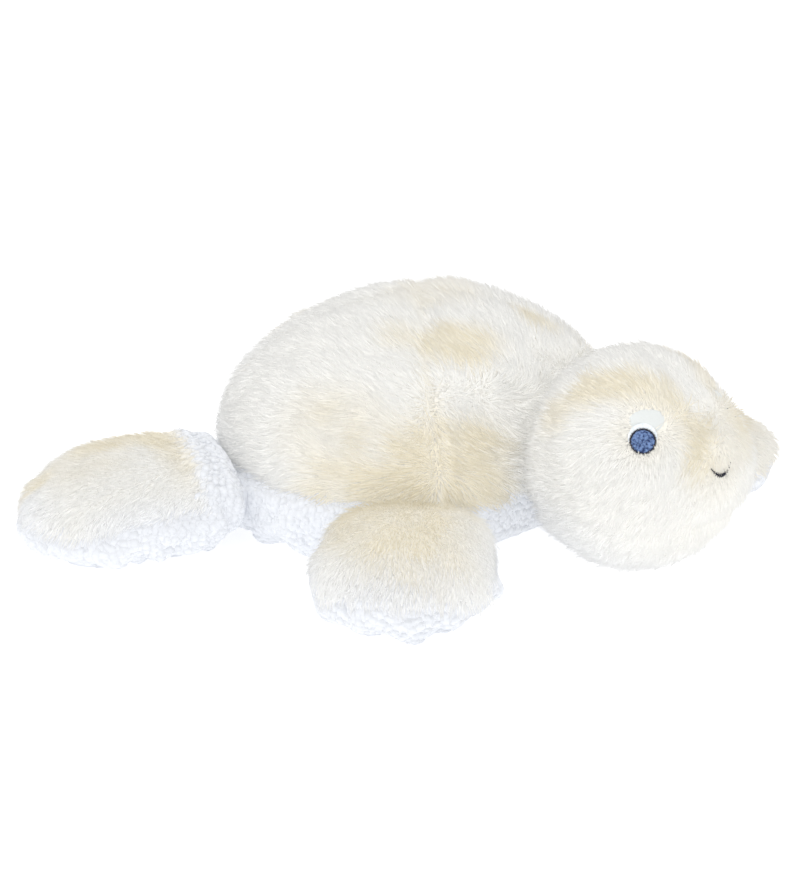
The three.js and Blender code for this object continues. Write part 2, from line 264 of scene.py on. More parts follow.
CREAM_ROOT = (0.93, 0.91, 0.85)
CREAM_TIP = (0.96, 0.955, 0.92)
WHITE_PILE_COOL_SHADE = (0.94, 0.955, 0.985)
FLEECE = (0.75, 0.775, 0.825)
long_pile = pile_material("cream_pile_strands", CREAM_ROOT, CREAM_TIP, WHITE_PILE_COOL_SHADE)
curly_fleece = pile_material("white_fleece_curls", FLEECE, FLEECE, FLEECE)
pile_backing = pile_material("pile_backing", CREAM_ROOT, CREAM_ROOT, FLEECE, strand=False)
fleece_backing = pile_material("fleece_backing", FLEECE, FLEECE, FLEECE, strand=False)
print("finishes:", [m.name for m in bpy.data.materials if m.users])

# %% [markdown]
# A stuffed toy is a bag of cloth blown up by its filling, so its skin is made that way. The CAD
# filling is copied and remeshed into even squares, its seams are pinned, and Blender's cloth
# solver blows it up for 20 frames. Between the pinned seams the panels crown, as sewn panels do.
# Where a skin would sink below the floor it is flattened, as the toy's own weight does.

# %% Stuffed skins, common parts
CLOTH_PRESSURE = 2500
CLOTH_MASS = 0.01
CLOTH_STIFFNESS = 5
CLOTH_FRAMES = 20
SEAM_PINS = (2 * MM, 5 * MM)  # held up to the first distance from a seam, free beyond the second


def positions(mesh, what="co"):
    flat = np.empty(len(mesh.vertices) * 3)
    mesh.vertices.foreach_get(what, flat)
    return flat.reshape(-1, 3)


def normals(mesh):
    return positions(mesh, "normal")


def move_to(mesh, places):
    mesh.vertices.foreach_set("co", np.ascontiguousarray(places).ravel())
    mesh.update()


def applied(thing):
    """The object with its modifiers made real"""
    graph = bpy.context.evaluated_depsgraph_get()
    mesh = bpy.data.meshes.new_from_object(
        thing.evaluated_get(graph), preserve_all_data_layers=True, depsgraph=graph
    )
    thing.modifiers.clear()
    thing.data = mesh
    return thing


def even_copy(name, filling, square):
    """A copy of a CAD filling, with its loose triangles joined and remeshed into squares"""
    shape = bmesh.new()
    shape.from_mesh(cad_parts[filling].data)
    bmesh.ops.remove_doubles(shape, verts=shape.verts, dist=0.01 * MM)
    mesh = bpy.data.meshes.new(name)
    shape.to_mesh(mesh)
    skin = bpy.data.objects.new(name, mesh)
    scene.collection.objects.link(skin)
    remesh = skin.modifiers.new("even_squares", "REMESH")
    remesh.mode = "VOXEL"
    remesh.voxel_size = square
    applied(skin)
    skin.data.materials.clear()
    return skin


def blow_up(skin, pinned, cap):
    """Cloth under pressure, held at its pins, with no point moving beyond the cap"""
    before = positions(skin.data)
    pins = skin.vertex_groups.new(name="pins")
    for index, weight in enumerate(pinned):
        if weight > 0:
            pins.add([index], float(weight), "REPLACE")
    cloth = skin.modifiers.new("cloth", "CLOTH")
    cloth.settings.vertex_group_mass = "pins"
    cloth.settings.use_pressure = True
    cloth.settings.uniform_pressure_force = CLOTH_PRESSURE
    cloth.settings.effector_weights.gravity = 0
    cloth.settings.mass = CLOTH_MASS
    cloth.settings.tension_stiffness = CLOTH_STIFFNESS
    cloth.settings.compression_stiffness = CLOTH_STIFFNESS
    cloth.point_cache.frame_start = 1
    cloth.point_cache.frame_end = CLOTH_FRAMES
    for step in range(1, CLOTH_FRAMES + 1):
        scene.frame_set(step)
        bpy.context.view_layer.update()
    applied(skin)
    scene.frame_set(1)
    skin.vertex_groups.clear()
    moved = positions(skin.data) - before
    far = np.linalg.norm(moved, axis=1, keepdims=True)
    move_to(skin.data, before + moved * np.minimum(1, cap / np.maximum(far, 1e-9)))
    return float(np.minimum(far, cap).mean())


def smoothed(skin, times):
    """Evens out the steps that the remesh left"""
    shape = bmesh.new()
    shape.from_mesh(skin.data)
    for _ in range(times):
        bmesh.ops.smooth_vert(
            shape, verts=shape.verts, factor=0.5, use_axis_x=True, use_axis_y=True, use_axis_z=True
        )
    shape.to_mesh(skin.data)


def finer(skin):
    skin.modifiers.new("finer", "SUBSURF").levels = 1
    skin.modifiers["finer"].render_levels = 1
    applied(skin)
    skin.data.polygons.foreach_set("use_smooth", [True] * len(skin.data.polygons))


def ease(values, low, high):
    """0 below low and 1 above high, with a soft start and end"""
    share = np.clip((values - low) / (high - low), 0, 1)
    return share * share * (3 - 2 * share)


def fade(values, low, high):
    """1 below low and 0 above high"""
    return 1 - ease(values, low, high)


def near_line(distance, width):
    """1 on a line, and less to both sides of it"""
    return np.exp(-((distance / width) ** 2))


def spot(points, middle, radii):
    """1 in the middle of a soft-edged spot, 0 outside it, sizes in millimetres"""
    away = np.linalg.norm((points - np.array(middle) * MM) / (np.array(radii) * MM), axis=1)
    return fade(away, 0.45, 1.15)


def curls(points, size, seed):
    """Lumps like curls: round on top, with sharp creases between them, from 0 to 1"""
    shift = Vector((seed, seed, seed))
    return np.array([abs(noise.noise(Vector(p) / size + shift)) for p in points]) * 2


def rest_on_floor(mesh):
    """Flattens what would sink into the floor, more the lower it is, so that no face folds"""
    places = positions(mesh)
    low = places[:, 2] < FLATTENED
    places[low, 2] = FLATTENED * np.exp(places[low, 2] / FLATTENED - 1)
    move_to(mesh, places)


def built(shape, name, material=None):
    """A smooth object of a bmesh shape"""
    mesh = bpy.data.meshes.new(name)
    shape.to_mesh(mesh)
    mesh.polygons.foreach_set("use_smooth", [True] * len(mesh.polygons))
    if material:
        mesh.materials.append(material)
    thing = bpy.data.objects.new(name, mesh)
    scene.collection.objects.link(thing)
    print(name, "has", len(mesh.polygons), "faces")
    return thing


def carry(mesh, **fields):
    """Keeps values at each point of a skin, for its coat and its colour"""
    for name, values in fields.items():
        layer = mesh.attributes.get(name) or mesh.attributes.new(name, "FLOAT", "POINT")
        layer.data.foreach_set("value", np.ascontiguousarray(values, dtype=float))


def carry_direction(mesh, name, values):
    layer = mesh.attributes.get(name) or mesh.attributes.new(name, "FLOAT_VECTOR", "POINT")
    layer.data.foreach_set("vector", np.ascontiguousarray(values, dtype=float).ravel())


# %% [markdown]
# The body is four gores over a belly. They meet in four seams up the shell and one round its
# edge, and each seam pulls the skin in. The edge of the belly is lumpy, as the photograph shows.

# %% Body skin
SEAM_HEIGHT = 36 * MM
NECK_FACE = 86 * MM
SHELL_SWELLS = (  # rise, middle and radii in millimetres, read off the photograph's outline
    (1.5, (-5, 8, 108), (26, 26, 20)),
    (-1.8, (-60, -18, 85), (42, 40, 30)),
    (1.0, (-85, -35, 60), (26, 42, 32)),
    (-1.3, (-40, -10, 100), (32, 44, 20)),
    (3.5, (-33, -88, 12), (32, 26, 14)),
    (-1.0, (20, 50, 95), (36, 30, 26)),
)

GORE_PULL = 1.2  # this and the sizes below are in millimetres
EDGE_PULL = 2.2
BELLY_RUFFLE = 4.0
NECK_TUCK = 5.0
CROWN = 1.0
TOP_CROWN = 0.4

body_skin = even_copy("body_skin", "body_filling", 5 * MM)
p = positions(body_skin.data)


def gore_seam_distance(points):
    x, y = points[:, 0], points[:, 1]
    diagonal = np.minimum(abs(x - y), abs(x + y)) / math.sqrt(2)
    return np.where(points[:, 2] > SEAM_HEIGHT, diagonal, 1)


edge_distance = abs(p[:, 2] - SEAM_HEIGHT)
pinned = np.maximum.reduce([
    fade(gore_seam_distance(p), *SEAM_PINS),
    fade(edge_distance, *SEAM_PINS),
    fade(p[:, 2], 9 * MM, 14 * MM),
    ease(p[:, 0], NECK_FACE - 14 * MM, NECK_FACE - 9 * MM),
])
mean = blow_up(body_skin, pinned, 3.5 * MM)
smoothed(body_skin, 2)
finer(body_skin)
p, n = positions(body_skin.data), normals(body_skin.data)
pull = GORE_PULL * near_line(gore_seam_distance(p), 3 * MM)
pull += EDGE_PULL * near_line(p[:, 2] - SEAM_HEIGHT, 4 * MM)
edge = fade(p[:, 2], 28 * MM, 35 * MM) * ease(p[:, 2], 5 * MM, 12 * MM)
neck_side = ease(p[:, 0], 55 * MM, 75 * MM)
ruffle = edge * (BELLY_RUFFLE + BELLY_RUFFLE * curls(p, 13 * MM, 3)) * (1 - neck_side)
ruffle -= NECK_TUCK * edge * neck_side
crown = (CROWN + TOP_CROWN * ease(p[:, 2], 60 * MM, 90 * MM)) * (1 - edge)
for rise, middle, radii in SHELL_SWELLS:
    crown += rise * spot(p, middle, radii)
move_to(body_skin.data, p + n * ((ruffle + crown - pull) * MM)[:, None])
rest_on_floor(body_skin.data)
print("body skin crowned by", round(mean / MM, 2), "mm,", len(p), "points")

# %% [markdown]
# The head is a ball of two side panels and a chin panel. Its back leans against the neck, where
# the CAD filling is cut away so that the head can turn. The cheeks, the muzzle and the inner sides
# of the eyes swell out a little.

# %% Head skin
HEAD_MIDDLE = np.array((123, 0, 54)) * MM
HEAD_RADIUS = 51 * MM
FACE_TURN = math.radians(-8.5)
CHIN_SEAM = 38 * MM
EYE_BEARING = math.radians(42.5)
EYE_ELEVATION = math.radians(31.5)
SMILE_ELEVATION = math.radians(7.5)
CHEEK_BEARING = math.radians(50)
CHEEK_ELEVATION = math.radians(-5)
CROWN_SWELL = (-0.38, 0.12, 0.92)
FACE_PULL = 0.6  # this and the sizes below are in millimetres
CHIN_PULL = 1.4
EYE_DENT = 0.6
PLUMP = 1.7
CROWN_RISE = 1.5
MUZZLE_RISE = 2.6
EYE_RIDGE = 2.2
CHEEK_RISE = 3.0
REAR_RISE = 4.0


def facing(bearing, elevation):
    """The direction from the head's middle to a spot on it"""
    flat = math.cos(elevation)
    return np.array((flat * math.cos(bearing), flat * math.sin(bearing), math.sin(elevation)))


def flat_place(points, bearing, elevation):
    """Millimetres to the right and up from a spot on the head, as seen from in front of it"""
    right = np.array((-math.sin(bearing), math.cos(bearing), 0))
    outward = facing(bearing, elevation)
    up = np.cross(outward, right)
    beyond = np.where((points - HEAD_MIDDLE) @ outward > 0, 0, 100)
    return (points - HEAD_MIDDLE) @ right / MM + beyond, (points - HEAD_MIDDLE) @ up / MM


head_skin = even_copy("head_skin", "head_filling", 4.5 * MM)
p = positions(head_skin.data)


def face_seam_distance(points):
    across = -(points[:, 0] - HEAD_MIDDLE[0]) * math.sin(FACE_TURN) + points[:, 1] * math.cos(FACE_TURN)
    return np.where(points[:, 2] > CHIN_SEAM, abs(across), 1)


pinned = np.maximum.reduce([
    fade(face_seam_distance(p), *SEAM_PINS),
    fade(abs(p[:, 2] - CHIN_SEAM), *SEAM_PINS),
    fade(p[:, 0], NECK_FACE + 9 * MM, NECK_FACE + 13 * MM),
])
mean = blow_up(head_skin, pinned, 3 * MM)
smoothed(head_skin, 3)
finer(head_skin)
p, n = positions(head_skin.data), normals(head_skin.data)
pull = FACE_PULL * near_line(face_seam_distance(p), 3 * MM)
pull += CHIN_PULL * near_line(p[:, 2] - CHIN_SEAM, 3.5 * MM) * (p[:, 0] > NECK_FACE + 12 * MM)
for side in (1, -1):
    across, rise = flat_place(p, FACE_TURN + side * EYE_BEARING, EYE_ELEVATION)
    pull += EYE_DENT * fade(np.hypot(across, rise - 1), 6.5, 11)
across, rise = flat_place(p, FACE_TURN, SMILE_ELEVATION)
muzzle = MUZZLE_RISE * fade(np.hypot(across, rise), 7, 22)
outwards = (p - HEAD_MIDDLE) / np.linalg.norm(p - HEAD_MIDDLE, axis=1, keepdims=True)
crown_gap = np.linalg.norm(outwards - np.array(CROWN_SWELL), axis=1)
plump = PLUMP + CROWN_RISE * fade(crown_gap, 0.2, 0.7) + muzzle
for side in (1, -1):
    across, rise = flat_place(p, FACE_TURN + side * EYE_BEARING, EYE_ELEVATION)
    plump += EYE_RIDGE * fade(np.hypot((across + side * 14) / 8, (rise + 1) / 14), 0.4, 1.3)
    cheek = facing(FACE_TURN + side * CHEEK_BEARING, CHEEK_ELEVATION)
    plump += CHEEK_RISE * fade(np.linalg.norm(outwards - cheek, axis=1), 0.15, 0.75)
behind = p[:, 0] - NECK_FACE
rear_rim = ease(behind, 3 * MM, 8 * MM) * fade(behind, 14 * MM, 26 * MM)
plump += REAR_RISE * rear_rim
move_to(head_skin.data, p + n * ((plump - pull) * MM)[:, None])
rest_on_floor(head_skin.data)
print("head skin crowned by", round(mean / MM, 2), "mm,", len(p), "points")

# %% [markdown]
# Each flipper is a padded paddle sewn into the seam between shell and belly. The CAD solid stops
# short of the body so that it can swing. Cloth doesn't stop: the skin's root is drawn on into the
# body here. The rear flippers are gathered into two folds at the root, and each flipper's edge
# swells out unevenly, which the bumps give.

# %% Flipper skins
FLIPPERS = {
    "front": {"bearing": math.radians(51.5), "hinge": (62.522, 78.601), "length": 76, "middle": 26.5,
              "fleece": 2.0, "gathers": 0,
              "bumps": ((48, -35, 14, 3.5), (62, -24, 10, -1.5), (71, -3, 14, 1.5))},
    "rear": {"bearing": math.radians(120), "hinge": (-50.248, 87.033), "length": 93, "middle": 27.5,
             "fleece": 6.2, "gathers": 1,
             "bumps": ((91, 6, 14, 1.0), (6, 44, 14, 4.0), (0, -44, 14, 5.0))},
}
DROOP = math.radians(7)
ROOT_FOLDS = ((2.5, 11, 5.0), (11.5, 7, 4.0))  # distance out, width and rise in millimetres
FLEECE_LUMPS = 4.5
PAD_RISE = 1.8
SIDE_RISE = 1.5
TIP_RISE = 5.5
LEFT_TIP_RISE = 1.2  # more on the far front flipper and less on the near one
FLIPPER_PULL = 1.6


def along_flipper(points, place, side):
    """Distances out from the hinge line, across the flipper, and up from its seam plane"""
    bearing = side * place["bearing"]
    out = np.array((math.cos(bearing), math.sin(bearing)))
    flat = points[:, :2] - np.array((place["hinge"][0], side * place["hinge"][1])) * MM
    far = flat @ out
    across = flat @ np.array((-out[1], out[0]))
    height = points[:, 2] - place["middle"] * MM + far * math.tan(DROOP)
    return far, across, height


def flipper_skin(end, side, name):
    place = FLIPPERS[end]
    skin = even_copy(f"{name}_skin", f"{name}_filling", 4 * MM)
    p = positions(skin.data)
    far, across, height = along_flipper(p, place, side)
    bearing = side * place["bearing"]
    root = np.array((math.cos(bearing), math.sin(bearing), 0))
    start = np.abs(p[:, 2] - SEAM_HEIGHT) * np.where(p[:, 2] > SEAM_HEIGHT, 1.19, 0.364) + 8 * MM
    near = fade(far - start, 0, 14 * MM)
    move_to(skin.data, p - root * (near * (start + 8 * MM))[:, None])
    smoothed(skin, 2)
    p = positions(skin.data)
    far, across, height = along_flipper(p, place, side)
    pinned = np.maximum(fade(abs(height), *SEAM_PINS), fade(far, 0, 6 * MM))
    mean = blow_up(skin, pinned, 3 * MM)
    smoothed(skin, 2)
    finer(skin)
    p, n = positions(skin.data), normals(skin.data)
    far, across, height = along_flipper(p, place, side)
    below = fade(height, -3 * MM, 3 * MM)
    lumps = place["fleece"] + (FLEECE_LUMPS - side) * curls(p, 12 * MM, 5 + place["length"] + side)
    ruffle = (lumps * below + PAD_RISE * (1 - below)) * ease(far, 4 * MM, 16 * MM)
    for middle, wide, rise in ROOT_FOLDS:
        off = far - middle * MM
        fold = np.clip(np.cos(math.pi * off / (wide * MM)), 0, 1) * (abs(off) < wide / 2 * MM)
        ruffle += rise * np.sqrt(fold) * place["gathers"]
    tip = TIP_RISE + LEFT_TIP_RISE * side * (1 - place["gathers"])
    ruffle += SIDE_RISE * ease(abs(across), 24 * MM, 40 * MM)
    ruffle += tip * ease(far / (place["length"] * MM), 0.78, 0.96)
    for bump_far, bump_across, wide, rise in place["bumps"]:
        off = np.hypot(far / MM - bump_far, -side * across / MM - bump_across)
        ruffle += rise * fade(off, 0.4 * wide, 1.2 * wide)
    pull = FLIPPER_PULL * near_line(height, 3 * MM) * ease(far, 0, 10 * MM)
    move_to(skin.data, p + n * ((ruffle - pull) * MM)[:, None])
    rest_on_floor(skin.data)
    print(name, "skin crowned by", round(mean / MM, 2), "mm")
    return skin


flipper_skins = {}
for end in FLIPPERS:
    for side, side_name in ((1, "left"), (-1, "right")):
        name = f"{end}_{side_name}_flipper"
        flipper_skins[name] = (flipper_skin(end, side, name), end, side)

# %% [markdown]
# The pile is made of tufts, each one a few fibres that cling together. One tuft is modelled as a
# three-sided spike that rises from the cloth and lies over. It is about 1 long, so that each copy
# can be scaled to its own length and width. The fleece is made of flat soft puffs in the same way.

# %% One tuft of each cloth
def tuft(name, path):
    """A closed spike along (forwards, sideways, up, width) steps, with a picture map of its own"""
    shape = bmesh.new()
    layer = shape.verts.layers.float.new("along")
    picture = shape.loops.layers.uv.new("tuft_map")
    bmesh.ops.create_circle(shape, segments=3, radius=0.5, cap_ends=True)
    first = Vector(path[0][:3])
    squash = Matrix.Diagonal((0.08, 1.0, 1.0, 1.0))
    bmesh.ops.transform(shape, matrix=Matrix.Translation(first) @ squash, verts=shape.verts)
    bmesh.ops.reverse_faces(shape, faces=shape.faces)
    rim = list(shape.edges)
    width = path[0][3]
    middle = first
    for step, (x, y, z, wide) in enumerate(path[1:], 1):
        grown = bmesh.ops.extrude_edge_only(shape, edges=rim)["geom"]
        ring = [g for g in grown if isinstance(g, bmesh.types.BMVert)]
        rim = [g for g in grown if isinstance(g, bmesh.types.BMEdge)]
        there = Vector((x, y, z))
        for v in ring:
            v.co = there + (v.co - middle) * (max(wide, 0.001) / width)
            v[layer] = step / (len(path) - 1)
        middle, width = there, max(wide, 0.001)
    bmesh.ops.pointmerge(shape, verts=ring, merge_co=middle)
    bmesh.ops.recalc_face_normals(shape, faces=shape.faces)
    for face in shape.faces:
        for corner in face.loops:
            turn = math.atan2(corner.vert.co.y + 0.001, corner.vert.co.x) / (2 * math.pi) + 0.5
            corner[picture].uv = (0.15 + 0.7 * turn, 0.1 + 0.8 * corner.vert[layer])
    return built(shape, name)


def puff(name, width, height):
    """A flat soft lump of fleece, closed, about as long as 1"""
    shape = bmesh.new()
    layer = shape.verts.layers.float.new("along")
    picture = shape.loops.layers.uv.new("tuft_map")
    bmesh.ops.create_icosphere(shape, subdivisions=1, radius=0.5)
    bmesh.ops.scale(shape, vec=(1, width, height), verts=shape.verts)
    for v in shape.verts:
        v[layer] = 0.5 + v.co.z / height
    for face in shape.faces:
        under = 0.5 if face.calc_center_median().z < 0 else 0
        for corner in face.loops:
            spot_x, spot_y = corner.vert.co.x, corner.vert.co.y / width
            corner[picture].uv = (0.25 + under + 0.4 * spot_x, 0.5 + 0.8 * spot_y)
    return built(shape, name)


soft_tuft = tuft("soft_tuft", [(0, 0, 0, 1), (0.30, 0, 0.16, 1.1), (0.97, 0.02, 0.24, 0)])
fleece_puff = puff("fleece_puff", 0.85, 0.36)

# %% [markdown]
# Geometry nodes sow the tufts over a skin. Each skin carries six values at every point: how many
# tufts grow there, how long they are, which way they are combed, how far they stand up, how much
# frosting and painted tan shade they have, and how far they turn a bluish white, partly the whiter
# pile and partly painted cool shade. A noise field turns neighbouring tufts together, and so the
# pile parts and clumps as real pile does. Every chance value has a fixed seed.

# %% The sower
def sower():
    tree = bpy.data.node_groups.new("sow_pile", "GeometryNodeTree")
    face = tree.interface
    face.new_socket(name="Geometry", in_out="INPUT", socket_type="NodeSocketGeometry")
    for name, kind in (
        ("Tuft", "Object"), ("Width", "Float"), ("Clumping", "Float"), ("Clump Scale", "Float"),
        ("Untidiness", "Float"), ("Roll", "Float"), ("Seed", "Int"),
    ):
        face.new_socket(name=name, in_out="INPUT", socket_type=f"NodeSocket{kind}")
    face.new_socket(name="Geometry", in_out="OUTPUT", socket_type="NodeSocketGeometry")
    join = tree.links.new
    given, result = node(tree, "NodeGroupInput"), node(tree, "NodeGroupOutput")

    def carried(name, kind="FLOAT"):
        reader = node(tree, "GeometryNodeInputNamedAttribute", {"Name": name}, data_type=kind)
        return reader.outputs["Attribute"]

    def chance(low, high, seed, kind="FLOAT"):
        roll = node(tree, "FunctionNodeRandomValue", data_type=kind)
        first = 0 if kind == "FLOAT_VECTOR" else 2
        roll.inputs[first].default_value = low
        roll.inputs[first + 1].default_value = high
        add = node(tree, "FunctionNodeIntegerMath", {1: seed}, operation="ADD")
        join(given.outputs["Seed"], add.inputs[0])
        join(add.outputs[0], roll.inputs["Seed"])
        return roll.outputs[0 if kind == "FLOAT_VECTOR" else 1]

    def vectors(operation, a, b):
        sum_ = node(tree, "ShaderNodeVectorMath", operation=operation)
        join(a, sum_.inputs[0])
        join(b, sum_.inputs["Scale" if operation == "SCALE" else 1])
        return sum_.outputs["Vector"]

    def times(a, b):
        product = node(tree, "ShaderNodeMath", operation="MULTIPLY")
        join(a, product.inputs[0])
        join(b, product.inputs[1])
        return product.outputs["Value"]

    scatter = node(tree, "GeometryNodeDistributePointsOnFaces", distribute_method="RANDOM")
    join(given.outputs["Geometry"], scatter.inputs["Mesh"])
    join(carried("sown"), scatter.inputs["Density"])
    join(given.outputs["Seed"], scatter.inputs["Seed"])

    swirl = node(tree, "ShaderNodeTexNoise", {"Detail": 1.5})
    join(node(tree, "GeometryNodeInputPosition").outputs["Position"], swirl.inputs["Vector"])
    join(given.outputs["Clump Scale"], swirl.inputs["Scale"])
    middle = node(tree, "ShaderNodeVectorMath", {1: (0.5, 0.5, 0.5)}, operation="SUBTRACT")
    join(swirl.outputs["Color"], middle.inputs[0])
    clumped = vectors("SCALE", middle.outputs["Vector"], given.outputs["Clumping"])
    any_way = chance((-1, -1, -1), (1, 1, 1), 1, "FLOAT_VECTOR")
    stray = vectors("SCALE", any_way, given.outputs["Untidiness"])
    combed = vectors("ADD", vectors("ADD", carried("combed", "FLOAT_VECTOR"), clumped), stray)

    upright = node(tree, "FunctionNodeAlignRotationToVector", axis="Z")
    join(scatter.outputs["Normal"], upright.inputs["Vector"])
    facing = node(tree, "FunctionNodeAlignRotationToVector", axis="X", pivot_axis="Z")
    join(upright.outputs["Rotation"], facing.inputs["Rotation"])
    join(combed, facing.inputs["Vector"])
    lean = node(tree, "ShaderNodeCombineXYZ")
    join(times(chance(-1, 1, 2), given.outputs["Roll"]), lean.inputs["X"])
    pitch = node(tree, "ShaderNodeMath", operation="SUBTRACT")
    join(chance(-0.32, 0.06, 3), pitch.inputs[0])
    join(carried("raised"), pitch.inputs[1])
    join(pitch.outputs["Value"], lean.inputs["Y"])
    turned = node(tree, "FunctionNodeEulerToRotation")
    join(lean.outputs["Vector"], turned.inputs["Euler"])
    tilted = node(tree, "FunctionNodeRotateRotation", rotation_space="LOCAL")
    join(facing.outputs["Rotation"], tilted.inputs["Rotation"])
    join(turned.outputs["Rotation"], tilted.inputs["Rotate By"])

    length = times(carried("pile_length"), chance(0.72, 1.15, 4))
    size = node(tree, "ShaderNodeCombineXYZ")
    join(length, size.inputs["X"])
    join(times(given.outputs["Width"], chance(0.7, 1.25, 5)), size.inputs["Y"])
    join(length, size.inputs["Z"])

    source = node(tree, "GeometryNodeObjectInfo")
    join(given.outputs["Tuft"], source.inputs["Object"])
    plant = node(tree, "GeometryNodeInstanceOnPoints")
    join(scatter.outputs["Points"], plant.inputs["Points"])
    join(source.outputs["Geometry"], plant.inputs["Instance"])
    join(tilted.outputs["Rotation"], plant.inputs["Rotation"])
    join(size.outputs["Vector"], plant.inputs["Scale"])
    shade = node(tree, "GeometryNodeStoreNamedAttribute", data_type="FLOAT", domain="INSTANCE")
    join(plant.outputs["Instances"], shade.inputs["Geometry"])
    shade.inputs["Name"].default_value = "shade"
    join(chance(0, 1, 6), shade.inputs["Value"])
    real = node(tree, "GeometryNodeRealizeInstances")
    join(shade.outputs["Geometry"], real.inputs["Geometry"])
    join(real.outputs["Geometry"], result.inputs["Geometry"])
    return tree


sow_pile = sower()
print("the sower has", len(sow_pile.nodes), "nodes")


def lay_out_pictures(mesh, corners):
    """Gives each tuft its own small square of the piece's picture map"""
    local = np.empty(len(mesh.loops) * 2)
    mesh.attributes["tuft_map"].data.foreach_get("vector", local)
    local = local.reshape(-1, corners, 2)
    count = len(local)
    side = math.ceil(math.sqrt(count))
    square = np.stack([np.arange(count) % side, np.arange(count) // side], axis=1)[:, None, :]
    uv = mesh.uv_layers.get("OFBake") or mesh.uv_layers.new(name="OFBake")
    uv.data.foreach_set("uv", ((local + square) / side).ravel())
    mesh.attributes.remove(mesh.attributes["tuft_map"])
    for name in ("sown", "combed", "pile_length", "raised"):
        if name in mesh.attributes:
            mesh.attributes.remove(mesh.attributes[name])


def coat(
    name, skin, here, seed, source, material, slot_name, width, clumping, clump_scale, stray, roll=0.5
):
    """Sows one panel of a skin: here is 1 where the panel is and 0 elsewhere"""
    mesh = skin.data.copy()
    dense = np.empty(len(mesh.vertices))
    mesh.attributes["sown"].data.foreach_get("value", dense)
    carry(mesh, sown=dense * here)
    panel = bpy.data.objects.new(name, mesh)
    scene.collection.objects.link(panel)
    sowing = panel.modifiers.new("sowing", "NODES")
    sowing.node_group = sow_pile
    values = {
        "Tuft": source, "Width": width, "Clumping": clumping, "Clump Scale": clump_scale,
        "Untidiness": stray, "Roll": roll, "Seed": seed,
    }
    for item in sow_pile.interface.items_tree:
        if item.in_out == "INPUT" and item.name in values:
            sowing[item.identifier] = values[item.name]
    applied(panel)
    rest_on_floor(panel.data)
    lay_out_pictures(panel.data, len(source.data.loops))
    panel.data.materials.clear()
    panel.data.materials.append(material)
    print(name, len(panel.data.polygons) // len(source.data.polygons), "tufts")
    return panel


def pile_of(width, clumping, clump_scale, stray):
    """How the long pile grows on one part of the toy"""
    return (soft_tuft, long_pile, "long_pile", width * MM, clumping, clump_scale, stray)


FLEECE_COAT = (fleece_puff, curly_fleece, "fleece", 5 * MM, 2.5, 90, 0.8, 0.2)


# %% [markdown]
# On the shell the pile is long. On the side gores it is combed backwards. On the front gore it
# falls towards the neck, and there it stands up to close the crease behind the head. The frosting
# lies in spots high on the front gore and in a wide patch low on each side of it. The belly is
# white fleece, thin underneath where the toy rests on it.

# %% Coat of the body
SHELL_FROST = (  # strength, middle and radii in millimetres
    (1.0, (52, -28, 93), (24, 22, 11)),
    (0.45, (26, -42, 98), (13, 12, 10)),
    (0.95, (70, -58, 60), (28, 26, 19)),
    (0.45, (30, -84, 66), (36, 24, 24)),
    (1.0, (72, -66, 42), (40, 34, 12)),
    (0.7, (44, -84, 42), (40, 26, 14)),
    (0.35, (12, 5, 108), (30, 40, 12)),
    (0.8, (52, 30, 93), (20, 20, 9)),
    (0.8, (70, 58, 60), (24, 22, 17)),
    (0.45, (30, 84, 66), (36, 24, 24)),
    (0.8, (72, 66, 42), (34, 28, 8)),
    (0.4, (-70, 0, 84), (24, 40, 14)),
)
PILE_SOWN = 1.1e6  # tufts to the square metre
FLEECE_SOWN = 0.22e6
FLEECE_THINNED = 0.1e6  # where the toy rests
SHELL_PILE_LENGTH = 12.0 * MM
FLEECE_LENGTH = 5.5 * MM
FLEECE_SHORTENED = 1.5 * MM
FLEECE_TUCK = -0.13  # how far a puff is turned down into the cloth
CREASE_THINNED = 0.2  # the pile of the crease behind the head: thinner, shorter, and it stands up
CREASE_RAISED = 0.7
# Painted shade: a thin line of tan frosting along the gore seams darkens their grooves
SEAM_PAINTED_SHADE = 0.4
SEAM_PAINTED_SHADE_WIDTH = 1.8 * MM

p = positions(body_skin.data)
x, y, z = p.T
turn = np.arctan2(y, x)
above = z > SEAM_HEIGHT + 0.5 * MM
panels = {
    "front": above & (abs(turn) <= math.pi / 4),
    "left": above & (turn > math.pi / 4) & (turn <= 3 * math.pi / 4),
    "right": above & (turn < -math.pi / 4) & (turn >= -3 * math.pi / 4),
    "rear": above & (abs(turn) > 3 * math.pi / 4),
}
radial = np.stack([x, y, np.zeros_like(x)], axis=1)
radial /= np.maximum(np.linalg.norm(radial, axis=1, keepdims=True), 1e-6)
combed = np.tile(np.array((-1.0, 0, -0.25)), (len(p), 1))
front = panels["front"][:, None]
high = ease(z, 66 * MM, 92 * MM)[:, None]
nearer = np.where(y > 0, 1.0, -1.0)[:, None]
upwards = np.array((-0.9, 0, 0.45)) + radial * 0.2
swept = np.array((0.65, 0, -0.5)) + np.array((0, -0.45, 0)) * nearer
combed = np.where(front, upwards * high + swept * (1 - high), combed)
combed = np.where(panels["rear"][:, None], radial * 0.5 + np.array((-0.5, 0, -0.5)), combed)
combed = np.where(above[:, None], combed, radial + np.array((0, 0, -0.5)))
frosted = sum(strength * spot(p, middle, radii) for strength, middle, radii in SHELL_FROST)
# painted shade in the seam grooves, laid into the frosting value
frosted += SEAM_PAINTED_SHADE * near_line(gore_seam_distance(p), SEAM_PAINTED_SHADE_WIDTH)
frosted = np.where(above, np.clip(frosted * (0.75 + 0.6 * curls(p, 15 * MM, 7)), 0, 1), 0)
under = fade(z, 4 * MM, 10 * MM)
hidden = ease(x, NECK_FACE - 13 * MM, NECK_FACE - 9 * MM) * fade(abs(y), 30 * MM, 36 * MM)
hidden *= z < 78 * MM
sown = np.where(above, PILE_SOWN, FLEECE_SOWN - FLEECE_THINNED * under)
length = np.where(above, SHELL_PILE_LENGTH, FLEECE_LENGTH - FLEECE_SHORTENED * under)
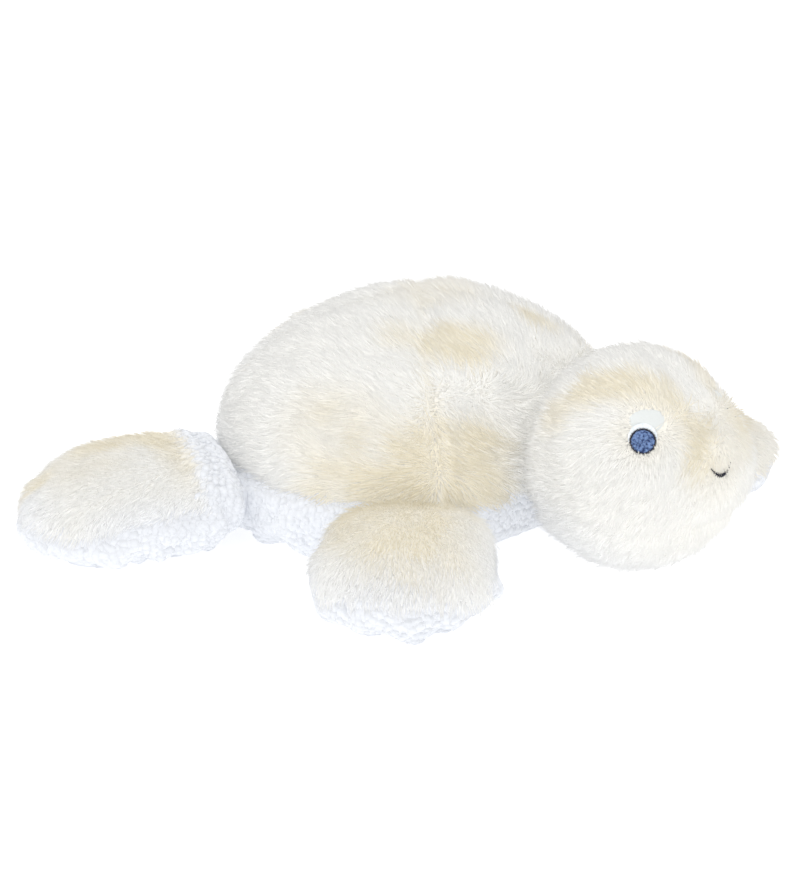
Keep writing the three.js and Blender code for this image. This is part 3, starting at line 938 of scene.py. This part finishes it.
carry(
    body_skin.data,
    sown=sown * (1 - CREASE_THINNED * hidden),
    pile_length=length * (1 - CREASE_THINNED * hidden),
    frosted=frosted,
    # bluish white towards the rear of the shell, partly whiter pile and partly painted cool shade
    cold=np.where(above, 0.35 * ease(-x, 10 * MM, 90 * MM), 1),
    raised=np.where(above, CREASE_RAISED * hidden, FLEECE_TUCK),
)
carry_direction(body_skin.data, "combed", combed)

coats = []
for seed, (side_name, here) in enumerate(panels.items()):
    pile = coat(f"shell_{side_name}_pile", body_skin, here, seed, *pile_of(0.6, 2.3, 60, 0.22))
    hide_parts(f"shell_{side_name}")
    coats.append((pile, "torso"))
fleece = coat("belly_fleece", body_skin, ~above, 11, *FLEECE_COAT)
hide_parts("belly")
coats.append((fleece, "torso"))

# %% [markdown]
# On the head the pile grows away from the eyes and runs down the cheeks and back over the crown.
# An arc of frosting runs over each eye like a brow and down beside the nose. The pile is clipped
# away round the eyes and along the smile, so that the embroidery shows. Round the neck it stands
# up and meets the pile of the shell.

# %% Coat of the head
IRIS_RADIUS = 4.9  # this and the sizes below are in millimetres
RIM_RADIUS = 5.7
WHITE_RADIUS = 6.1
IRIS_DROP = 3.6
WHITE_DROP = 1.7
LID_WIDTH = 8.9
LID_HEIGHT = 5.9
LID_RISE = 5.2
LID_SHIFT = 2.4
MOUTH_SHIFT = math.radians(2.2)
MOUTH = facing(FACE_TURN + MOUTH_SHIFT, SMILE_ELEVATION)
BROW = (  # direction from the head's middle, over the right eye, and strength
    ((-0.28, -0.78, 0.56), 0.7),
    ((-0.02, -0.62, 0.78), 1.0),
    ((0.26, -0.48, 0.84), 1.0),
    ((0.56, -0.34, 0.76), 0.8),
    ((0.80, -0.30, 0.52), 0.75),
    ((0.89, -0.30, 0.33), 0.45),
)
HEAD_PILE_SOWN = 1.45e6
HEAD_PILE_LENGTH = 9.5 * MM

p = positions(head_skin.data)
outwards = p - HEAD_MIDDLE
outwards /= np.linalg.norm(outwards, axis=1, keepdims=True)
eyes = {side: facing(FACE_TURN + side * EYE_BEARING, EYE_ELEVATION) for side in (1, -1)}
combed = np.tile(np.array((-0.6, 0, -0.8)), (len(p), 1))
back = ease(-outwards[:, 0], -0.35, 0.25)[:, None]
combed = combed * (1 - back) + np.array((-1.0, 0, -0.15)) * back
crown = ease(outwards[:, 2], 0.55, 0.85)[:, None]
combed = combed * (1 - crown) + np.array((-1.0, 0, 0.1)) * crown
from_mouth = outwards - MOUTH
combed += from_mouth * 1.5 * fade(np.linalg.norm(from_mouth, axis=1), 0.2, 0.55)[:, None]
clipped = np.ones(len(p))
bare = np.ones(len(p))
raised = np.zeros(len(p))
frosted = np.zeros(len(p))
for side, eye in eyes.items():
    away = outwards - eye
    gap = np.linalg.norm(away, axis=1)
    combed += away / np.maximum(gap, 0.05)[:, None] * 1.3 * fade(gap, 0.15, 0.5)[:, None]
    across, rise = flat_place(p, FACE_TURN + side * EYE_BEARING, EYE_ELEVATION)
    bare = np.minimum(bare, ease(np.hypot(across, rise + IRIS_DROP), 4.2, 5.2))
    lid = np.hypot((across + side * LID_SHIFT) / LID_WIDTH, (rise - LID_RISE) / LID_HEIGHT)
    bare = np.minimum(bare, ease(lid, 0.70, 1.05))
    eye_reach = np.minimum(np.hypot(across, rise + IRIS_DROP) / RIM_RADIUS, lid)
    clipped *= 0.45 + 0.55 * ease(eye_reach, 0.9, 1.9)
    inner = fade(np.hypot((across + side * 13) / 7, (rise + 1) / 14), 0.5, 1.1)
    raised += (0.4 + 0.2 * side) * inner
    clipped = np.maximum(clipped, (0.8 + 0.2 * side) * inner)
    for (ahead, sideways, upwards), strength in BROW:
        brow_gap = np.linalg.norm(outwards - np.array((ahead, sideways * -side, upwards)), axis=1)
        frosted += (0.85 - 0.15 * side) * strength * fade(brow_gap, 0.08, 0.30)
    frosted += 0.3 * fade(gap, 0.16, 0.3)
nose_gap = np.linalg.norm(outwards - facing(FACE_TURN, math.radians(18)), axis=1)
frosted += 0.4 * fade(nose_gap, 0.12, 0.5)
mouth_gap = np.linalg.norm(from_mouth * np.array((1, 0.4, 1)), axis=1)
bare = np.minimum(bare, ease(mouth_gap * HEAD_RADIUS, 1.8 * MM, 3.2 * MM))
clipped *= 0.4 + 0.6 * ease(mouth_gap * HEAD_RADIUS, 2.5 * MM, 7 * MM)
rear = fade(p[:, 0], NECK_FACE + 9 * MM, NECK_FACE + 20 * MM)
from_axis = np.linalg.norm(p[:, 1:] - HEAD_MIDDLE[1:], axis=1)
clipped *= 1 - 0.4 * fade(from_axis, 34 * MM, 40 * MM) * rear
raised += 0.9 * rear
carry(
    head_skin.data,
    sown=HEAD_PILE_SOWN * bare,
    raised=raised,
    pile_length=HEAD_PILE_LENGTH * (0.3 + 0.7 * clipped),
    frosted=np.clip(frosted, 0, 1),
    # bluish white on the underside and back of the head, partly whiter pile and partly painted cool shade
    cold=0.55 * ease(-outwards[:, 2] - 0.6 * outwards[:, 0], -0.1, 0.7),
)
carry_direction(head_skin.data, "combed", combed)
chin = p[:, 2] < CHIN_SEAM
left = -(p[:, 0] - HEAD_MIDDLE[0]) * math.sin(FACE_TURN) + p[:, 1] * math.cos(FACE_TURN) > 0
panels = {"head_left": ~chin & left, "head_right": ~chin & ~left, "chin": chin}
for seed, (name, here) in enumerate(panels.items(), 21):
    pile = coat(f"{name}_pile", head_skin, here, seed, *pile_of(0.55, 2.1, 66, 0.22))
    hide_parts(name)
    coats.append((pile, "head"))

# %% [markdown]
# The tops of the flippers have the long pile, frosted near the root, and it hangs over their
# edge. The undersides have the white fleece, which shows as a rim. On the rear flippers it also
# covers the two folds at the root.

# %% Coats of the flippers
FLIPPER_FROST = {  # strength, then middle and radii as far out, across and up, in millimetres
    "front": (
        (0.85, (26, -6, 14), (34, 34, 30)),
        (0.45, (50, 4, 10), (22, 26, 20)),
        (0.5, (8, -4, 14), (12, 40, 20)),
    ),
    "rear": (
        (0.9, (34, -16, 14), (34, 17, 22)),
        (0.75, (16, 2, 14), (15, 34, 22)),
        (0.75, (76, -8, 8), (14, 12, 14)),
        (0.35, (56, 0, 12), (26, 26, 20)),
    ),
}
FLIPPER_PILE_LENGTH = 8.5 * MM
FOLD_SHORTENED = 1.5 * MM
FAR_FLIPPER_PAINTED_SHADE = 0.35  # the least frosting of the far flippers: painted shade, as they sit in shade and look darker

flipper_coats = []
for name, (skin, end, side) in flipper_skins.items():
    place = FLIPPERS[end]
    gathers = place["gathers"]
    p = positions(skin.data)
    far, across, height = along_flipper(p, place, side)
    across = across * -side
    local = np.stack([far, across, height], axis=1)
    bearing = side * place["bearing"]
    out = np.array((math.cos(bearing), math.sin(bearing), 0))
    sideways = np.array((-out[1], out[0], 0)) * -side
    spread = np.clip(across / (45 * MM), -1, 1)[:, None]
    combed = out + sideways * spread * 0.9 + np.array((0, 0, -0.45))
    frosted = sum(strength * spot(local, middle, radii) for strength, middle, radii in FLIPPER_FROST[end])
    reach = np.maximum(far / (place["length"] * MM), abs(spread[:, 0]))
    rim_height = (7.0 - 3.0 * gathers) * ease(reach, 0.72, 0.98) - 1.0
    upper = (height > rim_height * MM) & (far > 15 * MM * gathers)
    buried = fade(far, -5 * MM, 0)
    underneath = fade(p[:, 2], 4 * MM, 9 * MM)
    folds = fade(far, 14 * MM, 18 * MM) * gathers
    sown = np.where(upper, PILE_SOWN, FLEECE_SOWN - FLEECE_THINNED * underneath)
    fleece_length = FLEECE_LENGTH - FLEECE_SHORTENED * underneath - FOLD_SHORTENED * folds
    # painted shade: tan frosting laid over the far flippers
    frosted = np.maximum(frosted, FAR_FLIPPER_PAINTED_SHADE * (side > 0)) * (0.8 + 0.5 * curls(p, 14 * MM, 9))
    rim_white_and_cool_shade = ease(reach, 0.58 + 0.14 * gathers, 0.92 + 0.06 * gathers)
    carry(
        skin.data,
        raised=np.where(upper, 0, FLEECE_TUCK),
        sown=sown * (1 - buried),
        pile_length=np.where(upper, FLIPPER_PILE_LENGTH, fleece_length),
        frosted=np.where(upper, np.clip(frosted, 0, 1), 0),
        # bluish white towards the rims, more on the near flippers: partly whiter pile, partly painted cool
        # shade
        cold=np.where(upper, (0.55 - 0.3 * side) * rim_white_and_cool_shade, 1),
    )
    carry_direction(skin.data, "combed", combed)
    seed = 31 + 2 * len(flipper_coats)
    top = coat(f"{name}_pile", skin, upper, seed, *pile_of(0.6, 2.2, 66, 0.25))
    below = coat(f"{name}_fleece", skin, ~upper, seed + 1, *FLEECE_COAT)
    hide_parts(f"{name}_top")
    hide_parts(f"{name}_underside")
    flipper_coats += [(top, name), (below, name)]

# %% [markdown]
# Embroidery is rows of satin stitch: threads laid side by side, each one fat in the middle and
# tucked in at both ends. A stitch is a stretched ball, and a patch is a few dozen of them in one
# mesh. Patches are drawn flat first and then set on the head with one turn.

# %% Embroidery, common parts
def on_head(bearing, elevation, depth):
    """A flat drawing's place on the head: its x runs to the viewer's right and its y up"""
    outward = Vector(facing(bearing, elevation))
    right = Vector((-math.sin(bearing), math.cos(bearing), 0))
    up = outward.cross(right)
    turn = Matrix((right, up, outward)).transposed().to_4x4()
    return Matrix.Translation(Vector(HEAD_MIDDLE) + outward * (HEAD_RADIUS - depth)) @ turn


def stitched(name, stitches, thick, place, material, dome=0.0):
    """One mesh of stitches, each from a start to an end in millimetres on the flat drawing"""
    shape = bmesh.new()
    upright = Matrix.Rotation(math.pi / 2, 4, "Y")
    for start, end in stitches:
        a, b = Vector((*start, 0)), Vector((*end, 0))
        middle, run = (a + b) / 2, b - a
        middle.z = -dome * middle.length_squared
        size = Matrix.Diagonal((run.length / 2, thick / 2, thick * 0.45, 1))
        lie = run.to_track_quat("X", "Z").to_matrix().to_4x4()
        placed = Matrix.Scale(MM, 4) @ Matrix.Translation(middle) @ lie @ size @ upright
        bmesh.ops.create_uvsphere(shape, u_segments=6, v_segments=6, radius=1, matrix=placed)
    shape.transform(place)
    made = built(shape, name, material)
    return made


TWIST_SCALE = 1000
TWIST_DEPTH = 0.1 * MM


def thread(name, dark, light):
    material, tree, shader = finish(name, light, 0.5)
    shader.inputs["Specular IOR Level"].default_value = 0.1
    place = node(tree, "ShaderNodeTexCoord")
    twist = node(tree, "ShaderNodeTexNoise", {"Scale": TWIST_SCALE})
    tree.links.new(place.outputs["Object"], twist.inputs["Vector"])
    sharp = ranged(tree, twist.outputs["Fac"], {"From Min": 0.38, "From Max": 0.62})
    tree.links.new(mixed(tree, sharp, dark, light), shader.inputs["Base Color"])
    bumpy(tree, shader, twist.outputs["Fac"], 0.4, TWIST_DEPTH)
    return material


blue_thread = thread("blue_satin_thread", (0.015, 0.03, 0.10), (0.15, 0.25, 0.52))
dark_thread = thread("dark_satin_thread", (0.006, 0.007, 0.012), (0.022, 0.022, 0.034))
white_thread = thread("white_satin_thread", (0.78, 0.84, 0.88), (0.94, 0.97, 1.0))
print("threads:", blue_thread.name, dark_thread.name, white_thread.name)

# %% [markdown]
# Each eye lies on a spot of closely clipped pile, coloured greyer than the pile as painted shade. A
# blue iris with a dark ragged rim sits low on it, a white crescent shows above the iris, and the
# clipped cloth above that reads as an eyelid.
# The iris is woven: its rows are cut into short stitches, each row a third of a stitch further on.

# %% Eyes
# painted shade: the clipped pile is the cream cloth, coloured greyer to stand for its shade
LID_PAINTED_SHADE_COLOR = (0.70, 0.73, 0.72)
LID_DEPTH = 8.5
LID_SWELL = 3.4
WHITE_DEPTH = 5.2
IRIS_DEPTH = 4.8
OUTLINE_DEPTH = 4.75
LEFT_EYE_DEEPER = 0.8  # keeps it behind the nose, as in the photograph
STITCH = 2.4
STITCH_STEP = 0.4
OUTLINE_STITCHES = 60

clipped_pile_painted_shade = pile_material("clipped_pile_painted_shade", LID_PAINTED_SHADE_COLOR, LID_PAINTED_SHADE_COLOR, LID_PAINTED_SHADE_COLOR, strand=False)


def rows_across(radius, step, tilt, drop):
    """Rows of short stitches that fill a circle, each row shifted by a third of a stitch"""
    rows = []
    count = int(2 * radius / step)
    turn = Matrix.Rotation(tilt, 2)
    for row in range(count):
        offset = -radius + (row + 0.5) * step
        half = math.sqrt(max(radius**2 - offset**2, 0)) + 0.12 * math.sin(row * 2.4)
        cuts = np.arange(-radius - STITCH * (row % 3) / 3, radius + STITCH, STITCH)
        cuts = np.unique(np.clip(cuts, -half, half))
        for low, high in zip(cuts[:-1], cuts[1:]):
            start, end = turn @ Vector((offset, low - 0.1)), turn @ Vector((offset, high + 0.1))
            rows.append(((start.x, start.y - drop), (end.x, end.y - drop)))
    return rows


def rows_above(radius, step, drop, below, below_drop):
    """Upright stitches from just inside a lower circle to the top of a higher one"""
    rows = []
    count = int(2 * radius / step)
    for row in range(count):
        offset = -radius + (row + 0.5) * step
        low = math.sqrt(max(below**2 - offset**2, 0)) - below_drop - 0.6
        high = math.sqrt(radius**2 - offset**2) - drop
        if high > low + 0.2:
            rows.append(((offset, low), (offset, high + 0.1 * math.sin(row * 2.2))))
    return rows


def rows_round(inner, outer, count, drop):
    """Stitches that point out from a circle's middle, with ragged ends"""
    rows = []
    for row in range(count):
        turn = 2 * math.pi * row / count
        reach = outer + 0.16 * math.sin(row * 2.7)
        way = Vector((math.cos(turn), math.sin(turn)))
        start, end = way * inner, way * reach
        rows.append(((start.x, start.y - drop), (end.x, end.y - drop)))
    return rows


def eyelid(name, place, side):
    shape = bmesh.new()
    bmesh.ops.create_uvsphere(shape, u_segments=40, v_segments=20, radius=MM)
    bmesh.ops.scale(shape, vec=(LID_WIDTH, LID_HEIGHT, LID_SWELL), verts=shape.verts)
    bmesh.ops.translate(shape, vec=(-side * LID_SHIFT * MM, LID_RISE * MM, 0), verts=shape.verts)
    shape.transform(place)
    made = built(shape, name, clipped_pile_painted_shade)
    return made


embroidery = []
for side, side_name in ((1, "left"), (-1, "right")):
    bearing = FACE_TURN + side * EYE_BEARING
    name = f"eye_{side_name}"
    pad = eyelid(f"{name}_clipped_spot", on_head(bearing, EYE_ELEVATION, LID_DEPTH * MM), side)
    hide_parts(f"{name}_eyelid")
    white = rows_above(WHITE_RADIUS, STITCH_STEP, WHITE_DROP, RIM_RADIUS, IRIS_DROP)
    iris = rows_across(IRIS_RADIUS, 0.42, 0.35, IRIS_DROP)
    outline = rows_round(IRIS_RADIUS - 0.5, RIM_RADIUS, OUTLINE_STITCHES, IRIS_DROP)
    layers = (
        ("white", white, 0.55, WHITE_DEPTH, white_thread, "white_thread"),
        ("iris", iris, 0.6, IRIS_DEPTH, blue_thread, "blue_thread"),
        ("outline", outline, 0.55, OUTLINE_DEPTH, dark_thread, "dark_thread"),
    )
    embroidery.append(pad)
    for part, rows, thick, depth, material, slot_name in layers:
        sunk = depth + (LEFT_EYE_DEEPER if side > 0 else 0)
        place = on_head(bearing, EYE_ELEVATION, sunk * MM)
        patch = stitched(f"{name}_{part}_stitches", rows, thick, place, material)
        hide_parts(f"{name}_{part}")
        embroidery.append(patch)

# %% [markdown]
# The smile is one satin band across the face seam, widest in the middle.

# %% Smile
SMILE_WIDTH = 12.5
SMILE_DEPTH = 3.9
SMILE_BAND = 1.8
SMILE_ROWS = 25
SMILE_SUNK = 2.4
SMILE_BEND = 0.010

smile_rows = []
for row in range(SMILE_ROWS):
    across = 2 * row / (SMILE_ROWS - 1) - 1
    height = SMILE_DEPTH * (across**2 - 0.5)
    half = SMILE_BAND / 2 * math.sqrt(1 - 0.8 * across**2) + 0.3 * math.sin(row * 2.9)
    slope = Vector((-2 * SMILE_DEPTH * across / (SMILE_WIDTH / 2), 1)).normalized() * half
    middle = Vector((across * SMILE_WIDTH / 2, height))
    start, end = middle - slope, middle + slope
    smile_rows.append(((start.x, start.y), (end.x, end.y)))
place = on_head(FACE_TURN + MOUTH_SHIFT, SMILE_ELEVATION, SMILE_SUNK * MM)
smile = stitched("smile_stitches", smile_rows, 0.6, place, dark_thread, dome=SMILE_BEND)
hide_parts("smile")
embroidery.append(smile)

# %% [markdown]
# The neck is a stuffed ball in a sleeve, hidden in the crease between head and shell. Its sleeve
# is white like the belly, with long loose strands that keep the crease closed when the head turns
# and nods.

# %% Neck
NECK_SWELL = 6.5 * MM
NECK_COAT = {"sown": 1.0e6, "pile_length": 9 * MM, "raised": 0.6, "frosted": 0, "cold": 1}

neck_skin = even_copy("neck_skin", "neck_filling", 2 * MM)
p, n = positions(neck_skin.data), normals(neck_skin.data)
move_to(neck_skin.data, p + n * NECK_SWELL)
smoothed(neck_skin, 2)
finer(neck_skin)
count = len(neck_skin.data.vertices)
carry(neck_skin.data, **{name: np.full(count, value) for name, value in NECK_COAT.items()})
carry_direction(neck_skin.data, "combed", np.tile(np.array((-0.3, 0, -0.6)), (count, 1)))
neck_fleece = coat(
    "neck_fleece", neck_skin, np.ones(count), 51, soft_tuft, curly_fleece, "fleece", 0.6 * MM, 1.8, 60, 0.6
)
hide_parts("neck_sleeve")
coats.append((neck_fleece, "neck"))
print("neck done")

# %% [markdown]
# Last, the skins and coats of the body, the head and the neck, and the embroidery, are each told
# which part of the CAD model they move with. The skins and coats of the flippers keep their
# places; cloth is sewn on at the flippers' roots, not hinged. Real pile passes light on from strand
# to strand. Here the strands take no bounced light from one another, and the skins below them
# shade the creases. The fleece casts no shadow, which keeps it soft.

for skin, body, node_hidden, slot_name, backing in (
    (body_skin, "torso", "body_filling", "long_pile", pile_backing),
    (head_skin, "head", "head_filling", "long_pile", pile_backing),
    (neck_skin, "neck", "neck_filling", "fleece", fleece_backing),
):
    skin.data.materials.append(backing)
    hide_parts(node_hidden)
    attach(skin, body)
for name, (skin, end, side) in flipper_skins.items():
    skin.data.materials.append(pile_backing)
    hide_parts(f"{name}_filling")
for pile, body in coats:
    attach(pile, body)
for patch in embroidery:
    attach(patch, "head")
for piece, name in flipper_coats + [(skin, name) for name, (skin, _, _) in flipper_skins.items()]:
    _, end, side = flipper_skins[name]
    place = FLIPPERS[end]
    bearing = side * place["bearing"]
    out = Vector((math.cos(bearing), math.sin(bearing), 0))
    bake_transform(piece)
for helper in (soft_tuft, fleece_puff):
    bpy.data.objects.remove(helper)
for piece, _ in coats + flipper_coats:
    piece.visible_diffuse = False
    piece.visible_shadow = "pile" in piece.name
print("pieces that bend:", len(flipper_coats) + len(flipper_skins))
